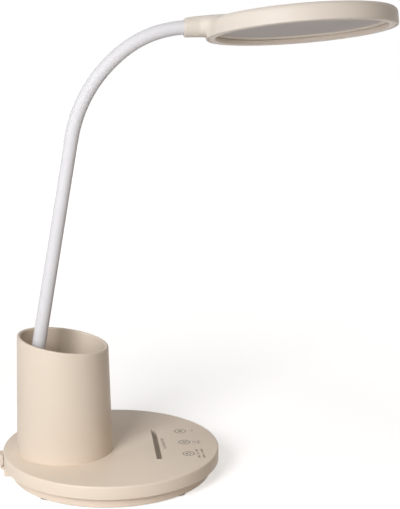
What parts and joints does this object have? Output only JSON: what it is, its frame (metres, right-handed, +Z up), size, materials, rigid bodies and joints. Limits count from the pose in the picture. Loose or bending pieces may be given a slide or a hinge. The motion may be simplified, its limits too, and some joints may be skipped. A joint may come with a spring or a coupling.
{
  "type": "desk lamp",
  "caption": "Gooseneck reading lamp with a flat round light head, a weighted round base, a pen cup round the neck's foot and a phone slot.",
  "frame": {"origin": "on the desk under the centre of the round base", "axes": "+Z up; +X from the pen cup towards the reader, the way the head reaches; +Y to the reader's right seen from the cup's side, across the base"},
  "size_m": [0.2909, 0.16, 0.3504],
  "materials": {
    "base_plastic": "satin moulded cream",
    "cup_plastic": "satin moulded cream",
    "head_plastic": "satin moulded cream",
    "bezel_plastic": "satin moulded cream",
    "foot_rubber": "matt rubber",
    "flap_rubber": "matt silicone rubber",
    "sleeve_silicone": "soft matt silicone",
    "core_steel": "wound bright steel",
    "ballast_steel": "zinc-plated plate",
    "battery_foil": "laminated foil",
    "foam": "conductive foam",
    "circuit_board": "solder mask",
    "light_strip": "white flexible board",
    "plated_steel": "nickel plated",
    "turned_brass": "turned",
    "diffuser_acrylic": "opal, satin face",
    "guide_acrylic": "clear polished",
    "reflector_film": "white film",
    "back_plate": "plain sheet"
  },
  "bodies": {
    "base": {"ballast": "ballast_steel", "battery": "battery_foil", "battery_tape": "foam", "bottom_cover": "base_plastic", "charging_socket": "plated_steel", "cover_screws": "plated_steel", "foot_1": "foot_rubber", "foot_2": "foot_rubber", "foot_3": "foot_rubber", "foot_4": "foot_rubber", "hinge_pin": "plated_steel", "main_board": "circuit_board", "main_board_screws": "plated_steel", "neck_core_run_1": "core_steel", "neck_ferrule": "turned_brass", "neck_nut": "turned_brass", "neck_sleeve_run_1": "sleeve_silicone", "neck_washer": "turned_brass", "pen_cup": "cup_plastic", "top_cover": "base_plastic", "touch_board": "circuit_board", "touch_board_screws": "plated_steel", "touch_pad_1": "foam", "touch_pad_2": "foam", "touch_pad_3": "foam"},
    "neck_low": {"neck_core_bend_1": "core_steel", "neck_core_run_2": "core_steel", "neck_sleeve_bend_1": "sleeve_silicone", "neck_sleeve_run_2": "sleeve_silicone"},
    "neck_mid": {"neck_core_bend_2": "core_steel", "neck_core_run_3": "core_steel", "neck_sleeve_bend_2": "sleeve_silicone", "neck_sleeve_run_3": "sleeve_silicone"},
    "neck_crown": {"neck_core_bend_3": "core_steel", "neck_core_run_4": "core_steel", "neck_sleeve_bend_3": "sleeve_silicone", "neck_sleeve_run_4": "sleeve_silicone"},
    "neck_tip": {"neck_core_bend_4": "core_steel", "neck_core_run_5": "core_steel", "neck_sleeve_bend_4": "sleeve_silicone", "neck_sleeve_run_5": "sleeve_silicone", "swivel_bush": "turned_brass"},
    "head": {"back_plate": "back_plate", "diffuser": "diffuser_acrylic", "head_bezel": "bezel_plastic", "head_shell": "head_plastic", "light_guide": "guide_acrylic", "light_strip": "light_strip", "reflector_sheet": "reflector_film", "stem_pin": "plated_steel"},
    "flap": {"port_flap": "flap_rubber"}
  },
  "joints": [
    {"name": "neck_low_bend", "type": "hinge", "parent": "base", "child": "neck_low", "pos_m": [-0.0469, 0, 0.12659], "axis": [0, 1, 0], "range_deg": [-15, 15], "deforming": ["neck_sleeve_bend_1", "neck_core_bend_1"]},
    {"name": "neck_sway_bend", "type": "hinge", "parent": "neck_low", "child": "neck_mid", "pos_m": [-0.04272, 0, 0.15022], "axis": [1, 0, 0], "range_deg": [-15, 15], "deforming": ["neck_sleeve_bend_2", "neck_core_bend_2"]},
    {"name": "neck_crown_bend", "type": "hinge", "parent": "neck_mid", "child": "neck_crown", "pos_m": [-0.00296, 0, 0.29714], "axis": [0, 1, 0], "range_deg": [-20, 20], "deforming": ["neck_sleeve_bend_3", "neck_core_bend_3"]},
    {"name": "head_tilt", "type": "hinge", "parent": "neck_crown", "child": "neck_tip", "pos_m": [0.03839, 0, 0.32485], "axis": [0, 1, 0], "range_deg": [-25, 25], "deforming": ["neck_sleeve_bend_4", "neck_core_bend_4"]},
    {"name": "head_turn", "type": "hinge", "parent": "neck_tip", "child": "head", "pos_m": [0.05515, 0, 0.32752], "axis": [0.999, 0, 0.0448], "range_deg": [-60, 60]},
    {"name": "port_flap_hinge", "type": "hinge", "parent": "base", "child": "flap", "pos_m": [-0.0815, 0, 0.0083], "axis": [0, -1, 0], "range_deg": [0, 90]}
  ]
}
